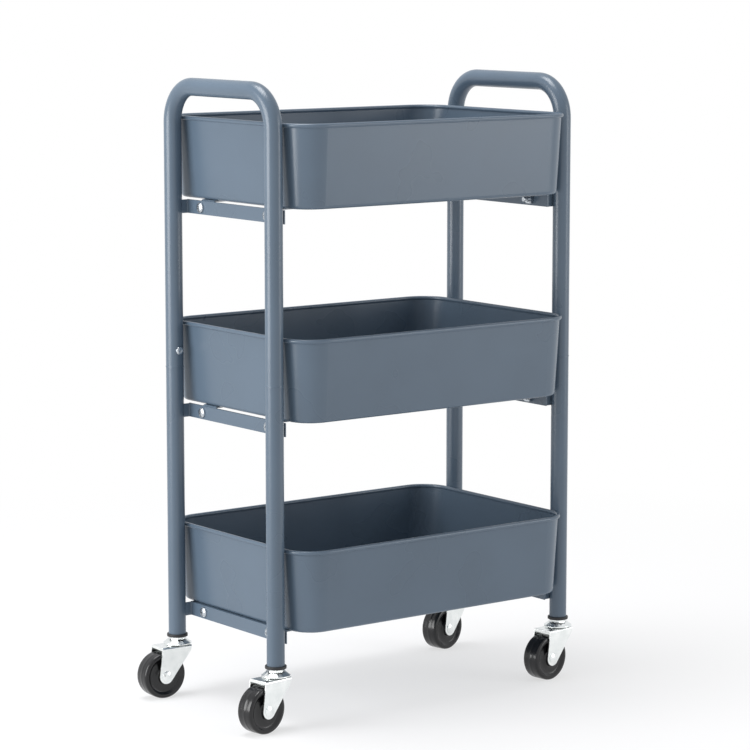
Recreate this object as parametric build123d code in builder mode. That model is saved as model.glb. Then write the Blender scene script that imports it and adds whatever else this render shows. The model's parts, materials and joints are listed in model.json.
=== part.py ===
from build123d import *
import os
from math import cos, hypot, radians, sin, tan

# Rolling pantry cart: two end frames of steel tube, three pressed trays and four swivel casters.
# Millimetres. +X runs along the cart, +Y to its rear and +Z up. The origin is on the floor, under
# the middle of the cart's overall box with its casters trailing to the left.

# ---- end frames ----
post_span_x = 387.0  # between the post axes of the two ends
post_span_y = 186.5  # between the two post axes of one end
cart_height = 674.0  # floor to the top of the handles
tube_diameter = 19.0
tube_wall = 1.2
handle_bend_radius = 39.0  # to the tube's centreline
seam_height = 362.0  # where each lower post meets its upper frame
spigot_length = 40.0
spigot_clearance = 0.1
spigot_neck = 6.0  # length over which the bore narrows to the spigot

# ---- seam screws ----
seam_screw_rise = 18.5  # above the seam
seam_screw_radius = 2.4
seam_screw_length = 9.0
seam_screw_head_radius = 4.3
seam_screw_head_height = 2.4
seam_screw_head_edge = 0.8
seam_recess_length = 3.4

# ---- levels ----
bottom_tray_height = 102.5  # floor to the underside of the bottom tray
handle_clearance = 22.5  # rim of the top tray to the underside of the handles

# ---- trays ----
tray_height = 88.0
tray_overhang = 35.75  # rim beyond the post axes, front and rear
tray_draft = 4.9  # how far a wall leans out over its height
tray_wall = 0.9
tray_edge_radius = 4.0
rim_diameter = 4.6
rim_corner_radius = 35.0
rim_post_gap = 0.2

# ---- crossbars ----
crossbar_setback = 14.0  # post axis to the crossbar's outer face
crossbar_thickness = 1.5
crossbar_height = 14.5
crossbar_end_inset = 5.5  # post axis to the folded end
crossbar_bend_radius = 1.5
crossbar_drops = {"bottom": 0.0, "middle": 1.6, "top": 1.6}  # crossbar below its tray's underside

# ---- tray brackets ----
bracket_thickness = 1.5
bracket_end_inset = 3.5  # post axis to the bracket's end
bracket_bend_radius = 0.8
tab_length = 24.0  # the two tabs of a middle or top bracket, along the crossbar
tab_reach = 18.0  # how far a tab runs in under the tray
tab_root = 6.0  # how far a tab's foot runs down the bracket
tab_offset = 11.0  # bolt axis to the middle of its tab

# ---- tray bolts and nuts ----
bolt_inset = 32.0  # post axis to bolt axis
bolt_radius = 3.0
bolt_length = 14.0
bolt_hole_clearance = 0.2
bolt_head_radius = 5.5
bolt_head_height = 3.2
bolt_head_edge = 1.2
bolt_recess_length = 4.4
screw_tip_chamfer = 0.6
recess_width = 1.0
recess_depth = 1.4
nut_flat_radius = 5.0
nut_height = 4.8
nut_tab_gap = 0.75  # nut to the bracket's tab above it, at the bottom tray
thread_clearance = 0.05

# ---- caster wheels and forks ----
wheel_radius = 25.0
tread_width = 20.5
wheel_shoulder = 2.4
rim_face_width = 2.0
rim_slope = 2.2
web_recess = 2.6
hub_radius = 8.0
hub_slope = 1.5
trail = 21.0  # swivel axis to axle
wheel_head_gap = 5.0  # wheel to the underside of the fork plate
wheel_side_gap = 0.9  # tread to each fork leg
fork_sheet = 1.5
fork_bend_radius = 2.2
fork_lead = 11.0  # fork plate ahead of the swivel axis
fork_tail = 25.3  # fork plate behind the swivel axis
fork_lip = 3.4
leg_tip_radius = 8.4
leg_shoulder_drop = 6.0
leg_shoulder_inset = 1.2
running_clearance = 0.08
side_clearance = 0.3
axle_radius = 3.0
axle_clearance = 0.03
rivet_head_radius = 5.5
rivet_head_height = 1.7
rivet_head_edge = 0.7

# ---- caster races and balls ----
race_radius = 10.5
race_top_radius = 6.5
race_rise = 2.9
ball_radius = 1.59
ball_count = 18
ball_circle_radius = 10.3
ball_clearance = 0.05
cup_radius = 15.5
cup_angle = 35.9  # degrees that the cup's skirt falls below level
cup_roof_rise = 2.25  # ball centres to the cup's roof
cup_sheet = 1.3

# ---- caster stems and sockets ----
collar_flat_radius = 7.0
collar_height = 2.9
stem_radius = 4.0
stem_length = 30.0
stem_end_chamfer = 0.8
kingpin_head_radius = 6.3
kingpin_head_height = 2.2
socket_flange_overhang = 1.9  # beyond the tube
socket_flange_height = 3.3
socket_depth = 38.0
socket_clearance = 0.05
socket_chamfer = 1.0

# ---- how each caster is turned at rest, degrees about +Z from trailing straight to the left ----
caster_turns = {"left_front": 8.0, "left_rear": -3.0, "right_front": 7.0, "right_rear": 11.0}

# ---- worked out from the sizes above ----
tube_radius = tube_diameter / 2
tube_bore_radius = tube_radius - tube_wall
rim_radius = rim_diameter / 2
frame_x = (trail + wheel_radius - cup_radius) / 2
end_x = {"left": frame_x - post_span_x / 2, "right": frame_x + post_span_x / 2}
side_y = {"front": -post_span_y / 2, "rear": post_span_y / 2}
inboard = {"left": 1, "right": -1}
top_tray_height = cart_height - tube_diameter - handle_clearance - tray_height
level_z = {
    "bottom": bottom_tray_height,
    "middle": (bottom_tray_height + top_tray_height) / 2,
    "top": top_tray_height,
}
crossbar_z = {level: level_z[level] - crossbar_drops[level] for level in level_z}
crossbar_inner = crossbar_setback + crossbar_thickness
bracket_inner = crossbar_inner + bracket_thickness
bracket_length = post_span_y - 2 * bracket_end_inset
bolt_y = post_span_y / 2 - bolt_inset
bolt_drop = bracket_thickness + nut_tab_gap + nut_flat_radius
fork_inner_half = tread_width / 2 + wheel_side_gap
fork_width = 2 * (fork_inner_half + fork_sheet)
fork_top = 2 * wheel_radius + wheel_head_gap + fork_sheet
socket_flange_radius = tube_radius + socket_flange_overhang

# the balls roll on the race's sloping flank, and the cup's skirt passes just clear of them
race_run = race_radius - race_top_radius
race_flank = hypot(race_run, race_rise)
ball_lift = (
    (ball_radius + ball_clearance) * race_flank + (race_radius - ball_circle_radius) * race_rise
) / race_run
ball_z = fork_top + ball_lift
skirt_slope = tan(radians(cup_angle))
skirt_r = ball_circle_radius + (ball_radius + side_clearance) * sin(radians(cup_angle))
skirt_z = ball_z + (ball_radius + side_clearance) * cos(radians(cup_angle))
cup_roof = ball_z + cup_roof_rise
cup_roof_radius = skirt_r - (cup_roof - skirt_z) / skirt_slope
cup_foot = skirt_z - (cup_radius - skirt_r) * skirt_slope
collar_base = cup_roof + cup_sheet
socket_base = collar_base + collar_height
tube_end = socket_base + socket_flange_height

os.makedirs("parts", exist_ok=True)


def upright_plane(x, y):
    """A vertical plane through a post axis: its x runs along the cart and its y runs up."""
    return Plane(origin=(x, y, 0), x_dir=(1, 0, 0), z_dir=(0, -1, 0))


def upright_axis(x, y):
    return Axis((x, y, 0), (0, 0, 1))


def end_plan(end, z):
    """A level plane at one end: its x runs inboard from the post axes."""
    return Plane(origin=(end_x[end], 0, z), x_dir=(inboard[end], 0, 0), z_dir=(0, 0, 1))


def end_section(end, z, along):
    """A vertical plane that cuts one end at a place along it: its x runs inboard and its y runs up."""
    side = inboard[end]
    return Plane(origin=(end_x[end], side * along, z), x_dir=(side, 0, 0), z_dir=(0, -side, 0))


def end_face(end, z, setback=0.0, y=0.0):
    """A vertical plane across one end, facing inboard from its setback, its y running up."""
    start = (end_x[end] + inboard[end] * setback, y, z)
    return Plane(origin=start, x_dir=(0, inboard[end], 0), z_dir=(inboard[end], 0, 0))


def stem_place(corner):
    end, side = corner.split("_")
    return end_x[end], side_y[side]


def caster_plan(corner):
    """The floor under a caster's stem: its x runs ahead of the stem, away from the wheel."""
    turn = radians(caster_turns[corner])
    return Plane(origin=(*stem_place(corner), 0), x_dir=(cos(turn), sin(turn), 0), z_dir=(0, 0, 1))


def caster_side(corner):
    """The caster's middle plane: its x runs ahead of the stem and its y runs up."""
    plan = caster_plan(corner)
    return Plane(origin=plan.origin, x_dir=plan.x_dir, z_dir=-plan.y_dir)


def caster_back(corner, behind):
    """A plane across the caster, behind its stem, facing ahead: its y runs up."""
    plan = caster_plan(corner)
    return Plane(origin=plan.origin - plan.x_dir * behind, x_dir=plan.y_dir, z_dir=plan.x_dir)


def axle_axis(corner):
    plan = caster_plan(corner)
    return Axis(plan.origin - plan.x_dir * trail + plan.z_dir * wheel_radius, plan.y_dir)


# ---- upper frames: a U of tube upside down, whose top is the handle ----
def make_upper_frame(end):
    top = cart_height - tube_radius
    front = side_y["front"]
    rear = side_y["rear"]
    screw_height = seam_height + seam_screw_rise
    with BuildPart() as upper_frame:
        with BuildLine(Plane(origin=(end_x[end], 0, 0), x_dir=(0, 1, 0), z_dir=(1, 0, 0))) as route:
            FilletPolyline(
                (front, seam_height), (front, top), (rear, top), (rear, seam_height),
                radius=handle_bend_radius,
            )
        with BuildSketch(Plane(origin=(end_x[end], front, seam_height))):
            Circle(tube_radius)
            Circle(tube_bore_radius, mode=Mode.SUBTRACT)
        sweep(path=route.line)
        with BuildSketch(Plane(origin=(end_x[end], 0, screw_height), z_dir=(0, 1, 0))):
            Circle(seam_screw_radius + thread_clearance)
        extrude(amount=post_span_y / 2, both=True, mode=Mode.SUBTRACT)
    upper_frame.part.label = f"{end}_upper_frame"
    export_step(upper_frame.part, f"parts/{end}_upper_frame.step")


for end in inboard:
    make_upper_frame(end)


# ---- lower posts: straight tubes, swaged at the top to plug into the upper frame ----
def make_lower_post(end, side):
    x = end_x[end]
    y = side_y[side]
    spigot_radius = tube_bore_radius - spigot_clearance
    spigot_bore = spigot_radius - tube_wall
    spigot_top = seam_height + spigot_length
    neck_top = seam_height - tube_wall
    with BuildPart() as lower_post:
        with BuildSketch(upright_plane(x, y)):
            with BuildLine():
                Polyline(
                    (tube_bore_radius, tube_end),
                    (tube_radius, tube_end),
                    (tube_radius, seam_height),
                    (spigot_radius, seam_height),
                    (spigot_radius, spigot_top),
                    (spigot_bore, spigot_top),
                    (spigot_bore, neck_top),
                    (tube_bore_radius, neck_top - spigot_neck),
                    close=True,
                )
            make_face()
        revolve(axis=upright_axis(x, y))
        with BuildSketch(Plane(origin=(x, y, seam_height + seam_screw_rise), z_dir=(0, -y, 0))):
            Circle(seam_screw_radius + thread_clearance)
        extrude(amount=tube_radius, mode=Mode.SUBTRACT)
    lower_post.part.label = f"{end}_{side}_lower_post"
    export_step(lower_post.part, f"parts/{end}_{side}_lower_post.step")


for end in inboard:
    for side in side_y:
        make_lower_post(end, side)


# ---- crossbars: a flat strip across each end, its ends folded outward to the posts ----
def make_crossbar(end, level):
    z = crossbar_z[level]
    half = post_span_y / 2 - crossbar_end_inset
    with BuildPart() as crossbar:
        with BuildSketch(end_plan(end, z)):
            with BuildLine():
                FilletPolyline(
                    (0, -half), (crossbar_inner, -half), (crossbar_inner, half), (0, half),
                    radius=crossbar_bend_radius + crossbar_thickness,
                )
                offset(amount=crossbar_thickness, side=Side.LEFT)
            make_face()
            with Locations((0, -post_span_y / 2), (0, post_span_y / 2)):
                Circle(tube_radius, mode=Mode.SUBTRACT)
        extrude(amount=-crossbar_height)
        with BuildSketch(end_face(end, z)):
            with Locations((-bolt_y, -bolt_drop), (bolt_y, -bolt_drop)):
                Circle(bolt_radius + bolt_hole_clearance)
        extrude(amount=crossbar_inner, mode=Mode.SUBTRACT)
    crossbar.part.label = f"{end}_{level}_crossbar"
    export_step(crossbar.part, f"parts/{end}_{level}_crossbar.step")


# ---- tray brackets: a strip behind each crossbar, folded in under the tray ----
# The bottom ones are folded along their whole length, and the others as two tabs.
two_tabs = [(y - tab_offset, tab_length) for y in (-bolt_y, bolt_y)]
bracket_folds = {"bottom": [(0, bracket_length)], "middle": two_tabs, "top": two_tabs}


def make_tray_bracket(end, level):
    z = crossbar_z[level]
    tray_z = level_z[level]
    with BuildPart() as tray_bracket:
        with BuildSketch(end_face(end, z, crossbar_inner)):
            with Locations((0, -crossbar_height / 2)):
                Rectangle(bracket_length, crossbar_height)
        extrude(amount=bracket_thickness)
        for along, fold_length in bracket_folds[level]:
            with BuildSketch(end_section(end, tray_z, along)):
                with BuildLine():
                    FilletPolyline(
                        (crossbar_inner, z - tray_z - tab_root),
                        (crossbar_inner, 0),
                        (crossbar_inner + tab_reach, 0),
                        radius=bracket_bend_radius + bracket_thickness,
                    )
                    offset(amount=bracket_thickness, side=Side.RIGHT)
                make_face()
            extrude(amount=fold_length / 2, both=True)
        with BuildSketch(end_face(end, z)):
            with Locations((-bolt_y, -bolt_drop), (bolt_y, -bolt_drop)):
                Circle(bolt_radius + bolt_hole_clearance)
        extrude(amount=bracket_inner, mode=Mode.SUBTRACT)
    tray_bracket.part.label = f"{end}_{level}_tray_bracket"
    export_step(tray_bracket.part, f"parts/{end}_{level}_tray_bracket.step")


for end in inboard:
    for level in level_z:
        make_crossbar(end, level)
        make_tray_bracket(end, level)


# ---- trays: pressed steel, rounded corners, leaning walls and a rolled bead for a rim ----
def make_tray(level):
    z = level_z[level]
    wall_top = z + tray_height - rim_radius
    length = post_span_x - tube_diameter - 2 * rim_post_gap - rim_diameter
    width = post_span_y + 2 * tray_overhang - rim_diameter
    corner = rim_corner_radius - rim_radius
    with BuildPart() as tray:
        with BuildSketch(Plane(origin=(frame_x, 0, z))):
            RectangleRounded(length - 2 * tray_draft, width - 2 * tray_draft, corner - tray_draft)
        with BuildSketch(Plane(origin=(frame_x, 0, wall_top))) as mouth:
            RectangleRounded(length, width, corner)
        loft()
        fillet(tray.edges().group_by(Axis.Z)[0], tray_edge_radius)
        offset(amount=-tray_wall, openings=tray.faces().sort_by(Axis.Z)[-1])
        with BuildSketch(Plane(origin=(frame_x, -width / 2, wall_top), z_dir=(1, 0, 0))):
            Circle(rim_radius)
        sweep(path=mouth.sketch.face().outer_wire())
    tray.part.label = f"{level}_tray"
    export_step(tray.part, f"parts/{level}_tray.step")


for level in level_z:
    make_tray(level)


# ---- screws and nuts: one of each, then copied to its places as a group ----
def pan_head_screw(radius, length, head_radius, head_height, head_edge, recess_length):
    """A cross-recess screw along +Z, with its head below the level plane."""
    with BuildPart() as screw:
        with BuildSketch(Plane.XZ):
            with BuildLine():
                Polyline(
                    (0, -head_height),
                    (0, length),
                    (radius - screw_tip_chamfer, length),
                    (radius, length - screw_tip_chamfer),
                    (radius, 0),
                    (head_radius, 0),
                    (head_radius, -head_edge),
                )
                EllipticalCenterArc(
                    (0, -head_edge), head_radius, head_height - head_edge, start_angle=-90, arc_size=90
                )
            make_face()
        revolve(axis=Axis.Z)
        with BuildSketch(Plane.XY.offset(-head_height)):
            Rectangle(recess_length, recess_width)
            Rectangle(recess_width, recess_length)
        extrude(amount=recess_depth, mode=Mode.SUBTRACT)
    return screw.part


def bolt_planes(level, setback):
    """The four bolt places of one level, at a setback from the post axes, facing inboard."""
    z = crossbar_z[level] - bolt_drop
    return [end_face(end, z, setback, y) for end in inboard for y in (-bolt_y, bolt_y)]


tray_bolt = pan_head_screw(
    bolt_radius, bolt_length, bolt_head_radius, bolt_head_height, bolt_head_edge, bolt_recess_length
)
for level in level_z:
    with BuildPart() as tray_bolts:
        with Locations(*bolt_planes(level, crossbar_setback)):
            add(tray_bolt)
    tray_bolts.part.label = f"{level}_tray_bolts"
    export_step(tray_bolts.part, f"parts/{level}_tray_bolts.step")

for level in level_z:
    with BuildPart() as tray_nuts:
        with BuildSketch(*bolt_planes(level, bracket_inner)):
            RegularPolygon(nut_flat_radius, 6, major_radius=False)
            Circle(bolt_radius + thread_clearance, mode=Mode.SUBTRACT)
        extrude(amount=nut_height)
    tray_nuts.part.label = f"{level}_tray_nuts"
    export_step(tray_nuts.part, f"parts/{level}_tray_nuts.step")

seam_screw = pan_head_screw(
    seam_screw_radius,
    seam_screw_length,
    seam_screw_head_radius,
    seam_screw_head_height,
    seam_screw_head_edge,
    seam_recess_length,
)
seam_screw_planes = [
    Plane(
        origin=(x, y - (tube_radius if y > 0 else -tube_radius), seam_height + seam_screw_rise),
        x_dir=(1, 0, 0),
        z_dir=(0, y, 0),
    )
    for x in end_x.values()
    for y in side_y.values()
]
with BuildPart() as seam_screws:
    with Locations(*seam_screw_planes):
        add(seam_screw)
seam_screws.part.label = "seam_screws"
export_step(seam_screws.part, "parts/seam_screws.step")


# ---- caster sockets: plastic plugs in the tube ends, each with a flange below the tube ----
def make_socket(corner):
    x, y = stem_place(corner)
    plug_radius = tube_bore_radius - socket_clearance
    plug_top = tube_end + socket_depth
    with BuildPart() as socket:
        with BuildSketch(upright_plane(x, y)):
            with BuildLine():
                Polyline(
                    (0, socket_base + stem_length),
                    (0, plug_top),
                    (plug_radius - socket_chamfer, plug_top),
                    (plug_radius, plug_top - socket_chamfer),
                    (plug_radius, tube_end),
                    (socket_flange_radius, tube_end),
                    (socket_flange_radius, socket_base),
                    (stem_radius + thread_clearance, socket_base),
                    (stem_radius + thread_clearance, socket_base + stem_length),
                    close=True,
                )
            make_face()
        revolve(axis=upright_axis(x, y))
    socket.part.label = f"{corner}_socket"
    export_step(socket.part, f"parts/{corner}_socket.step")


# ---- stems: a threaded stem, a hexagonal collar and a riveted kingpin in one piece ----
def make_stem(corner):
    x, y = stem_place(corner)
    stem_top = socket_base + stem_length
    head_top = fork_top - fork_sheet - side_clearance
    head_base = head_top - kingpin_head_height
    with BuildPart() as stem:
        with BuildSketch(upright_plane(x, y)):
            with BuildLine():
                Polyline(
                    (0, head_base),
                    (0, stem_top),
                    (stem_radius - stem_end_chamfer, stem_top),
                    (stem_radius, stem_top - stem_end_chamfer),
                    (stem_radius, head_top),
                    (kingpin_head_radius, head_top),
                    (kingpin_head_radius, head_base),
                    close=True,
                )
            make_face()
        revolve(axis=upright_axis(x, y))
        with BuildSketch(Plane(origin=(x, y, collar_base))):
            RegularPolygon(collar_flat_radius, 6, major_radius=False)
        extrude(amount=collar_height)
    stem.part.label = f"{corner}_stem"
    export_step(stem.part, f"parts/{corner}_stem.step")


# ---- race cups: conical dishes clamped under the collars, over the balls ----
def make_race_cup(corner):
    x, y = stem_place(corner)
    bore = stem_radius + thread_clearance
    with BuildPart() as race_cup:
        with BuildSketch(upright_plane(x, y)):
            with BuildLine():
                Polyline(
                    (bore, cup_roof),
                    (cup_roof_radius, cup_roof),
                    (cup_radius, cup_foot),
                    (cup_radius, cup_foot + cup_sheet),
                    (cup_roof_radius, collar_base),
                    (bore, collar_base),
                    close=True,
                )
            make_face()
        revolve(axis=upright_axis(x, y))
    race_cup.part.label = f"{corner}_race_cup"
    export_step(race_cup.part, f"parts/{corner}_race_cup.step")


# ---- race balls: a full ring between the fork's race and the cup ----
def make_race_balls(corner):
    x, y = stem_place(corner)
    with BuildPart() as race_balls:
        with Locations((x, y, ball_z)):
            with PolarLocations(ball_circle_radius, ball_count):
                Sphere(ball_radius)
    race_balls.part.label = f"{corner}_race_balls"
    export_step(race_balls.part, f"parts/{corner}_race_balls.step")


# ---- forks: pressed sheet, two legs under a plate, a lip behind and a raised race on top ----
def make_fork(corner):
    leg_foot = wheel_radius - leg_tip_radius
    plate_base = fork_top - fork_sheet
    with BuildPart() as fork:
        with BuildSketch(caster_back(corner, trail + leg_tip_radius)) as channel:
            with Locations((0, (fork_top + leg_foot) / 2)):
                Rectangle(fork_width, fork_top - leg_foot)
            fillet(channel.vertices().group_by(Axis.Y)[-1], fork_bend_radius)
            with Locations((0, (plate_base + leg_foot) / 2)):
                Rectangle(2 * fork_inner_half, plate_base - leg_foot, mode=Mode.SUBTRACT)
        extrude(amount=trail + leg_tip_radius + fork_lead)
        with BuildSketch(caster_side(corner)):
            with BuildLine():
                Polyline(
                    (-fork_tail, fork_top),
                    (fork_lead, fork_top),
                    (fork_lead - leg_shoulder_inset, fork_top - leg_shoulder_drop),
                )
                CenterArc((-trail, wheel_radius), leg_tip_radius, 0, 360)
            make_hull()
        extrude(amount=fork_width, both=True, mode=Mode.INTERSECT)
        with BuildSketch(caster_back(corner, fork_tail)) as lip:
            with Locations((0, fork_top - fork_lip / 2)):
                Rectangle(fork_width, fork_lip)
            fillet(lip.vertices().group_by(Axis.Y)[-1], fork_bend_radius)
        extrude(amount=fork_sheet)
        with BuildSketch(caster_side(corner)):
            with BuildLine():
                Polyline(
                    (0, plate_base),
                    (race_radius, plate_base),
                    (race_radius, fork_top),
                    (race_top_radius, fork_top + race_rise),
                    (0, fork_top + race_rise),
                    close=True,
                )
            make_face()
        revolve(axis=upright_axis(*stem_place(corner)))
        with BuildSketch(caster_plan(corner)):
            Circle(stem_radius + running_clearance)
        extrude(amount=fork_top + race_rise, mode=Mode.SUBTRACT)
        with BuildSketch(caster_side(corner)):
            with Locations((-trail, wheel_radius)):
                Circle(axle_radius + axle_clearance)
        extrude(amount=fork_width, both=True, mode=Mode.SUBTRACT)
    fork.part.label = f"{corner}_fork"
    export_step(fork.part, f"parts/{corner}_fork.step")


# ---- axles: a rivet through both legs, its heads pressed flat against them ----
def make_axle(corner):
    leg_face = fork_width / 2
    head_end = leg_face + rivet_head_height
    head_edge = leg_face + rivet_head_edge
    with BuildPart() as axle:
        with BuildSketch(caster_back(corner, trail)):
            with BuildLine():
                Polyline(
                    (-head_end, wheel_radius),
                    (-head_end, wheel_radius + axle_radius),
                    (-head_edge, wheel_radius + rivet_head_radius),
                    (-leg_face, wheel_radius + rivet_head_radius),
                    (-leg_face, wheel_radius + axle_radius),
                    (leg_face, wheel_radius + axle_radius),
                    (leg_face, wheel_radius + rivet_head_radius),
                    (head_edge, wheel_radius + rivet_head_radius),
                    (head_end, wheel_radius + axle_radius),
                    (head_end, wheel_radius),
                    close=True,
                )
            make_face()
        revolve(axis=axle_axis(corner))
    axle.part.label = f"{corner}_axle"
    export_step(axle.part, f"parts/{corner}_axle.step")


# ---- wheels: one moulding each, with a rounded tread, a raised rim edge, a web and a hub ----
def make_wheel(corner):
    hub_half = fork_inner_half - side_clearance
    tread_half = tread_width / 2
    web_half = tread_half - web_recess
    rim_face_outer = wheel_radius - wheel_shoulder
    rim_face_inner = rim_face_outer - rim_face_width
    one_side = [
        (hub_half, axle_radius + running_clearance),
        (hub_half, hub_radius),
        (web_half, hub_radius + hub_slope),
        (web_half, rim_face_inner - rim_slope),
        (tread_half, rim_face_inner),
        (tread_half, wheel_radius),
    ]
    outline = one_side + [(-across, out) for across, out in reversed(one_side)]
    with BuildPart() as wheel:
        with BuildSketch(caster_back(corner, trail)):
            with BuildLine():
                Polyline(*[(across, wheel_radius + out) for across, out in outline], close=True)
            make_face()
        revolve(axis=axle_axis(corner))
        fillet(wheel.edges().filter_by(GeomType.CIRCLE).group_by(SortBy.LENGTH)[-1], wheel_shoulder)
    wheel.part.label = f"{corner}_wheel"
    export_step(wheel.part, f"parts/{corner}_wheel.step")


for corner in caster_turns:
    make_socket(corner)
    make_stem(corner)
    make_race_cup(corner)
    make_race_balls(corner)
    make_fork(corner)
    make_axle(corner)
    make_wheel(corner)
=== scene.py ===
import json
from math import pi, radians

import bmesh
import bpy
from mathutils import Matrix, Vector


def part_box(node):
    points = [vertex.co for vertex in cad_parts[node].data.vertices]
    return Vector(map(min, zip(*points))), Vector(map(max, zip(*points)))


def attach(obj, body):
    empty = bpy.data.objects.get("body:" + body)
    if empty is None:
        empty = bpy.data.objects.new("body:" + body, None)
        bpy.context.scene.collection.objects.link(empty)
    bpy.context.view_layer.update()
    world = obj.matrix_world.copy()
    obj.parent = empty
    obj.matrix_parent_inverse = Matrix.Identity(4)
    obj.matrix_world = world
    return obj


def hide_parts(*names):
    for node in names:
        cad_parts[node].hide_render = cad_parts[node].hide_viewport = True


MM = 0.001

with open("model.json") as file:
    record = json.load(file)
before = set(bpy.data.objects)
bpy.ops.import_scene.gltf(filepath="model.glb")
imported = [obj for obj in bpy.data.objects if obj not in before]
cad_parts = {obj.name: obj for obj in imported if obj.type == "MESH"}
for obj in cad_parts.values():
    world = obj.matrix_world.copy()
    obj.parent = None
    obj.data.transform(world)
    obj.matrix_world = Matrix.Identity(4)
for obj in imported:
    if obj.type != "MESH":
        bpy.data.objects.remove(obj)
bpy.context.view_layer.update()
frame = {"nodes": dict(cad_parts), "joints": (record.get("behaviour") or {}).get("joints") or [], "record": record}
nodes = frame["nodes"]
joints = {joint["name"]: joint for joint in frame["joints"]}
ends = ("left", "right")
levels = ("bottom", "middle", "top")
corners = [end + "_" + side for end in ends for side in ("front", "rear")]
scene = bpy.context.scene
UP = Vector((0, 0, 1))


# ---- materials ----
def linear(hex_colour):
    """An sRGB hex value as a linear colour."""
    values = [int(hex_colour[i:i + 2], 16) / 255 for i in (1, 3, 5)]
    return [v / 12.92 if v <= 0.04045 else ((v + 0.055) / 1.055) ** 2.4 for v in values] + [1.0]


def node(tree, kind, links=None, **settings):
    """Adds a node, sets its properties or inputs by name, and links its inputs to outputs."""
    made = tree.nodes.new(kind)
    for name, value in settings.items():
        if hasattr(made, name):
            setattr(made, name, value)
        else:
            made.inputs[name.replace("_", " ")].default_value = value
    for name, source in (links or {}).items():
        tree.links.new(source, made.inputs[name])
    return made


def finish_material(
    name, colours, roughness, cloud_size, relief_size=0.0, relief_height=0.0, metallic=0.0
):
    """A finish whose colour and roughness drift over cloud_size, with a relief of relief_size."""
    made = bpy.data.materials.new(name)
    made.use_nodes = True
    tree = made.node_tree
    shader = tree.nodes["Principled BSDF"]
    place = {"Vector": node(tree, "ShaderNodeTexCoord").outputs["Object"]}
    cloud = node(tree, "ShaderNodeTexNoise", place, Scale=1 / cloud_size, Detail=2.0).outputs["Fac"]
    tint = node(tree, "ShaderNodeValToRGB", {"Fac": cloud})
    tint.color_ramp.interpolation = "EASE"
    tint.color_ramp.elements[0].position = 0.1
    tint.color_ramp.elements[1].position = 0.9
    tint.color_ramp.elements[0].color = linear(colours[0])
    tint.color_ramp.elements[1].color = linear(colours[1])
    tree.links.new(tint.outputs["Color"], shader.inputs["Base Color"])
    smoothest, roughest = roughness
    gloss = node(
        tree, "ShaderNodeMapRange", {"Value": cloud}, To_Min=smoothest, To_Max=roughest
    )
    tree.links.new(gloss.outputs["Result"], shader.inputs["Roughness"])
    if relief_size:
        relief = node(tree, "ShaderNodeTexNoise", place, Scale=1 / relief_size, Detail=1.0)
        height = {"Height": relief.outputs["Fac"]}
        bump = node(tree, "ShaderNodeBump", height, Strength=0.35, Distance=relief_height)
        tree.links.new(bump.outputs["Normal"], shader.inputs["Normal"])
    shader.inputs["Metallic"].default_value = metallic
    return made, shader


# Polyester powder baked on steel. It gives a satin slate blue with an orange peel of about 1.5 mm.
powder, powder_shader = finish_material(
    "baked_powder_coat", ("#536271", "#576777"), (0.25, 0.31), 70 * MM, 1.5 * MM, 0.01 * MM
)
powder_shader.inputs["IOR"].default_value = 1.5

# Nickel-zinc plate on pressed sheet. It gives near-white faces with a faint drawn cloudiness.
plated, _ = finish_material(
    "bright_plated_sheet", ("#E9EDEC", "#F8FAF9"), (0.16, 0.26), 9 * MM, 3 * MM, 0.01 * MM, 1.0
)

# Zinc on cold-headed screws and nuts. It gives a bluish metal, duller than the casters.
zinc, _ = finish_material(
    "zinc_plated_steel", ("#B4BAC0", "#CCD1D6"), (0.2, 0.34), 2 * MM, metallic=1.0
)

# Ground chrome steel, made much darker than bare steel as painted shade in the gap between race cup and fork. It
# gives small sharp reflections in the ring of balls.
shade_darkened_balls, _ = finish_material(
    "steel_balls_darkened_as_shade", ("#77787A", "#88898B"), (0.08, 0.14), 1 * MM, metallic=1.0
)

# Moulded polyethylene plug. It gives a soft black with a matt moulded skin.
plug_black, plug_shader = finish_material(
    "moulded_polyethylene", ("#131416", "#1C1D20"), (0.42, 0.55), 3 * MM, 0.8 * MM, 0.02 * MM
)
plug_shader.inputs["IOR"].default_value = 1.51

# Moulded polypropylene wheel. It gives a glossy black that varies a little in grey.
wheel_black, wheel_shader = finish_material(
    "moulded_polypropylene", ("#0E0E10", "#18181A"), (0.17, 0.27), 4 * MM, 1.0 * MM, 0.01 * MM
)
wheel_shader.inputs["IOR"].default_value = 1.49

finishes = {
    "powder_coated_steel": powder,
    "zinc_hardware": zinc,
    "plated_caster": plated,
    "bearing_steel": shade_darkened_balls,
    "socket_plastic": plug_black,
    "wheel_plastic": wheel_black,
}
slots = {part["node"]: part["material_slot"] for part in frame["record"]["subparts"]}
for name, slot in slots.items():
    mesh = nodes[name].data
    mesh.materials.clear()
    mesh.materials.append(finishes[slot])


# ---- pieces ----
def body_of(name):
    """The body whose members include a CAD node."""
    for body, members in frame["record"]["behaviour"]["bodies"].items():
        if name in members:
            return body


def add_piece(name, shape, body, slot, stands_for=()):
    """Makes an object of a bmesh, smooth but for its edges, riding on a body."""
    bmesh.ops.recalc_face_normals(shape, faces=shape.faces)
    mesh = bpy.data.meshes.new(name)
    shape.to_mesh(mesh)
    shape.free()
    mesh.shade_smooth()
    mesh.set_sharp_from_angle(angle=radians(35))
    mesh.materials.append(finishes[slot])
    piece = bpy.data.objects.new(name, mesh)
    scene.collection.objects.link(piece)
    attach(piece, body)
    if stands_for:
        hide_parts(*stands_for)
    return piece


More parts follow.
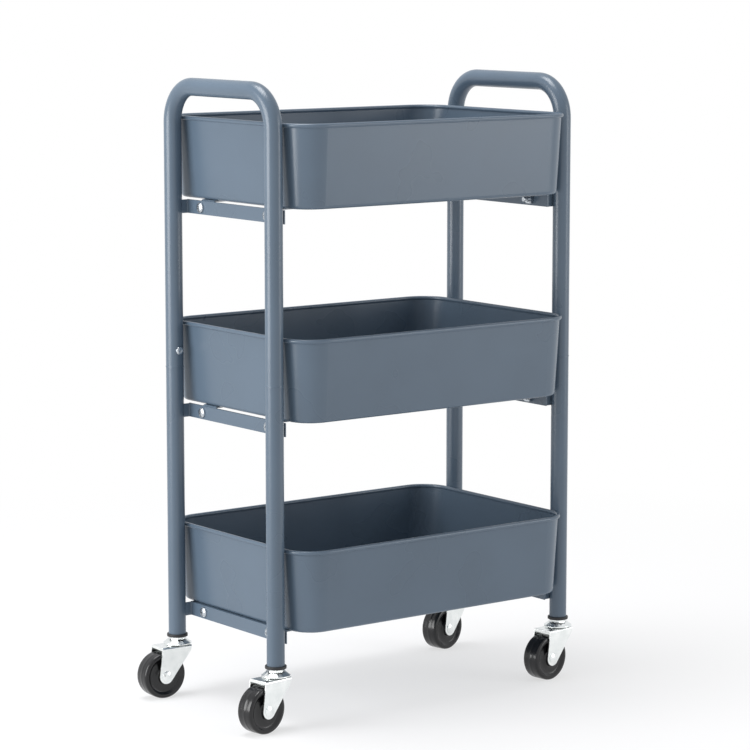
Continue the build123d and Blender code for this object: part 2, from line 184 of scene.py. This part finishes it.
def eased(name, width, segments=2):
    """Stands for a CAD node with the same shape and its sharp edges rounded by a real width."""
    shape = bmesh.new()
    shape.from_mesh(nodes[name].data)
    bmesh.ops.remove_doubles(shape, verts=shape.verts, dist=0.002 * MM)
    bmesh.ops.dissolve_limit(shape, angle_limit=radians(1), verts=shape.verts, edges=shape.edges)
    piece = add_piece("eased_" + name, shape, body_of(name), slots[name], [name])
    rounding = piece.modifiers.new("edges", "BEVEL")
    rounding.width = width
    rounding.segments = segments
    rounding.limit_method = "ANGLE"
    rounding.angle_limit = radians(40)
    rounding.harden_normals = True
    return piece


def spun(outline, centre, axis, outward, steps):
    """Turns a closed outline of (along the axis, away from it) millimetres right round an axis."""
    shape = bmesh.new()
    ring = [shape.verts.new(centre + axis * (a * MM) + outward * (r * MM)) for a, r in outline]
    edges = [shape.edges.new((ring[i - 1], ring[i])) for i in range(len(ring))]
    bmesh.ops.spin(
        shape, geom=ring + edges, cent=centre, axis=axis, angle=2 * pi, steps=steps, use_merge=True
    )
    return shape


for end in ends:
    for level in levels:
        eased(f"{end}_{level}_crossbar", 0.5 * MM, 3)
        eased(f"{end}_{level}_tray_bracket", 0.3 * MM)
for level in levels:
    eased(level + "_tray_nuts", 0.3 * MM)
    eased(level + "_tray_bolts", 0.2 * MM)
eased("seam_screws", 0.2 * MM)
for corner in corners:
    eased(corner + "_lower_post", 0.9 * MM, 3)
    eased(corner + "_fork", 0.3 * MM)
    eased(corner + "_stem", 0.3 * MM)
    eased(corner + "_race_cup", 0.4 * MM, 3)
    eased(corner + "_socket", 0.8 * MM, 3)
    eased(corner + "_axle", 0.2 * MM)


# ---- wheels: a moulding with a parting line round its tread, a dished web and a stepped hub ----
def make_wheel(corner):
    joint = joints[corner + "_roll"]
    centre = Vector(joint["pos_m"])
    axle = Vector(joint["axis"]).normalized()
    hub = [(10.9, 3.1), (10.9, 7.4), (10.5, 8.0), (9.6, 8.2)]
    web = [(8.1, 9.0), (7.7, 9.6), (7.65, 17.6), (7.9, 18.4)]
    rim = [(9.9, 20.4), (10.2, 20.8), (10.2, 22.3)]
    shoulder = [(10.05, 23.2), (9.55, 24.1), (8.8, 24.7), (7.8, 24.95)]
    tread = [(4.0, 24.95), (0.35, 24.95), (0.2, 25.0)]
    one_side = hub + web + rim + shoulder + tread
    outline = one_side + [(-a, r) for a, r in reversed(one_side)]
    shape = spun(outline, centre, axle, UP, 96)
    wheel = corner + "_wheel"
    add_piece(corner + "_moulded_wheel", shape, wheel, "wheel_plastic", [wheel])


for corner in corners:
    make_wheel(corner)


# ---- seams: the upper tubes' rolled ends, just proud of the lower posts ----
def make_seam_ring(corner):
    low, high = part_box(corner + "_lower_post")
    seam = (low + high) / 2
    seam.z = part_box("left_upper_frame")[0].z
    outline = [(0.05, 9.3), (0.05, 9.6), (0.3, 9.85), (0.9, 9.85), (1.5, 9.5), (1.5, 9.3)]
    shape = spun(outline, seam, UP, Vector((1, 0, 0)), 48)
    add_piece(corner + "_seam_ring", shape, "frame", "powder_coated_steel")


for corner in corners:
    make_seam_ring(corner)


# ---- welds: a rippled bead up each side of each folded crossbar end, where it meets its post ----
def make_welds():
    ripples = 8
    ripple_pitch = 1.55 * MM
    ripple_radius = 1.25 * MM
    first_rise = 1.5 * MM
    welds = bmesh.new()
    for end in ends:
        for level in levels:
            low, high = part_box(f"{end}_{level}_crossbar")
            face = low.x + 0.4 * MM if end == "left" else high.x - 0.4 * MM
            for y in (low.y - 0.1 * MM, high.y + 0.1 * MM):
                for step in range(ripples):
                    place = Vector((face, y, low.z + first_rise + ripple_pitch * step))
                    ripple = bmesh.ops.create_uvsphere(
                        welds, u_segments=8, v_segments=6, radius=ripple_radius
                    )
                    bmesh.ops.translate(welds, verts=ripple["verts"], vec=place)
    add_piece("crossbar_welds", welds, "frame", "powder_coated_steel")


make_welds()


# ---- floor, light and camera ----
def floor_with_painted_glow():
    """Matt white paper mixed with a painted glow, most of it glow near the cart and all glow further off, so it
    brightens to plain white.
    """
    made = bpy.data.materials.new("paper_with_painted_glow")
    made.use_nodes = True
    tree = made.node_tree
    shader = tree.nodes["Principled BSDF"]
    shader.inputs["Base Color"].default_value = linear("#F2F2F4")
    shader.inputs["Roughness"].default_value = 0.9
    shader.inputs["Specular IOR Level"].default_value = 0.1
    glow = node(tree, "ShaderNodeEmission", Color=(1, 1, 1, 1), Strength=1.0)
    place = node(tree, "ShaderNodeTexCoord")
    here = {"Vector": place.outputs["Object"]}
    away = node(tree, "ShaderNodeVectorMath", here, operation="LENGTH")
    # The painted glow's share of the floor: 0.62 within 0.2 m of the cart, rising to 1.0 at 1.3 m.
    painted_glow_share = node(
        tree, "ShaderNodeMapRange", {"Value": away.outputs["Value"]},
        From_Min=0.2, From_Max=1.3, To_Min=0.62, To_Max=1.0,
    )
    mixed = node(tree, "ShaderNodeMixShader", {"Fac": painted_glow_share.outputs["Result"]})
    tree.links.new(shader.outputs["BSDF"], mixed.inputs[1])
    tree.links.new(glow.outputs["Emission"], mixed.inputs[2])
    tree.links.new(mixed.outputs["Shader"], tree.nodes["Material Output"].inputs["Surface"])
    return made


def make_floor():
    half_width = 60
    mesh = bpy.data.meshes.new("floor")
    shape = bmesh.new()
    bmesh.ops.create_grid(shape, x_segments=1, y_segments=1, size=half_width)
    shape.to_mesh(mesh)
    shape.free()
    mesh.materials.append(floor_with_painted_glow())
    floor = bpy.data.objects.new("floor", mesh)
    scene.collection.objects.link(floor)


def softbox(name, place, target, size, power):
    """A rectangular lamp of a size in metres and a power in watts, turned to a target."""
    light = bpy.data.lights.new(name, "AREA")
    light.shape = "RECTANGLE"
    light.size, light.size_y = size
    light.energy = power
    lamp = bpy.data.objects.new(name, light)
    lamp.location = place
    lamp.rotation_euler = (Vector(target) - Vector(place)).to_track_quat("-Z", "Y").to_euler()
    scene.collection.objects.link(lamp)


make_floor()
softbox("key_light", (-2.4, 0.5, 0.8), (0, 0, 0.35), (1.6, 1.8), 58)
softbox("right_fill", (2.2, -2.4, 0.9), (0, 0, 0.35), (1.2, 2.0), 23)
softbox("overhead", (-0.4, 0.3, 2.6), (0, 0, 0.3), (1.2, 1.2), 40)

# The surroundings look white, light the cart at a lower strength, and mirror a little brighter.
lit_strength = 0.5
seen_strength = 1.1
mirrored_extra = 0.4
world = scene.world or bpy.data.worlds.new("studio")
scene.world = world
world.use_nodes = True
sky = world.node_tree
ambient = sky.nodes["Background"]
ambient.inputs["Color"].default_value = (0.97, 0.98, 1.0, 1)
rays = node(sky, "ShaderNodeLightPath")
seen = node(
    sky, "ShaderNodeMapRange", {"Value": rays.outputs["Is Camera Ray"]},
    To_Min=lit_strength, To_Max=seen_strength,
)
glossy = {0: rays.outputs["Is Glossy Ray"], 2: seen.outputs["Result"]}
mirrored = node(sky, "ShaderNodeMath", glossy, operation="MULTIPLY_ADD")
mirrored.inputs[1].default_value = mirrored_extra
sky.links.new(mirrored.outputs["Value"], ambient.inputs["Strength"])
scene.view_settings.view_transform = "Standard"

# The camera looks a little down on the cart from its front left.
camera_pitch = radians(90 - 8.09)
camera_heading = radians(-37.125)
camera_data = bpy.data.cameras.new("camera")
camera_data.lens = 141.13
camera_data.sensor_width = 36
camera_data.clip_end = 200
camera = bpy.data.objects.new("camera", camera_data)
camera.location = (-1.9032, -2.5435, 0.7999)
camera.rotation_euler = (camera_pitch, 0, camera_heading)
scene.collection.objects.link(camera)
scene.camera = camera
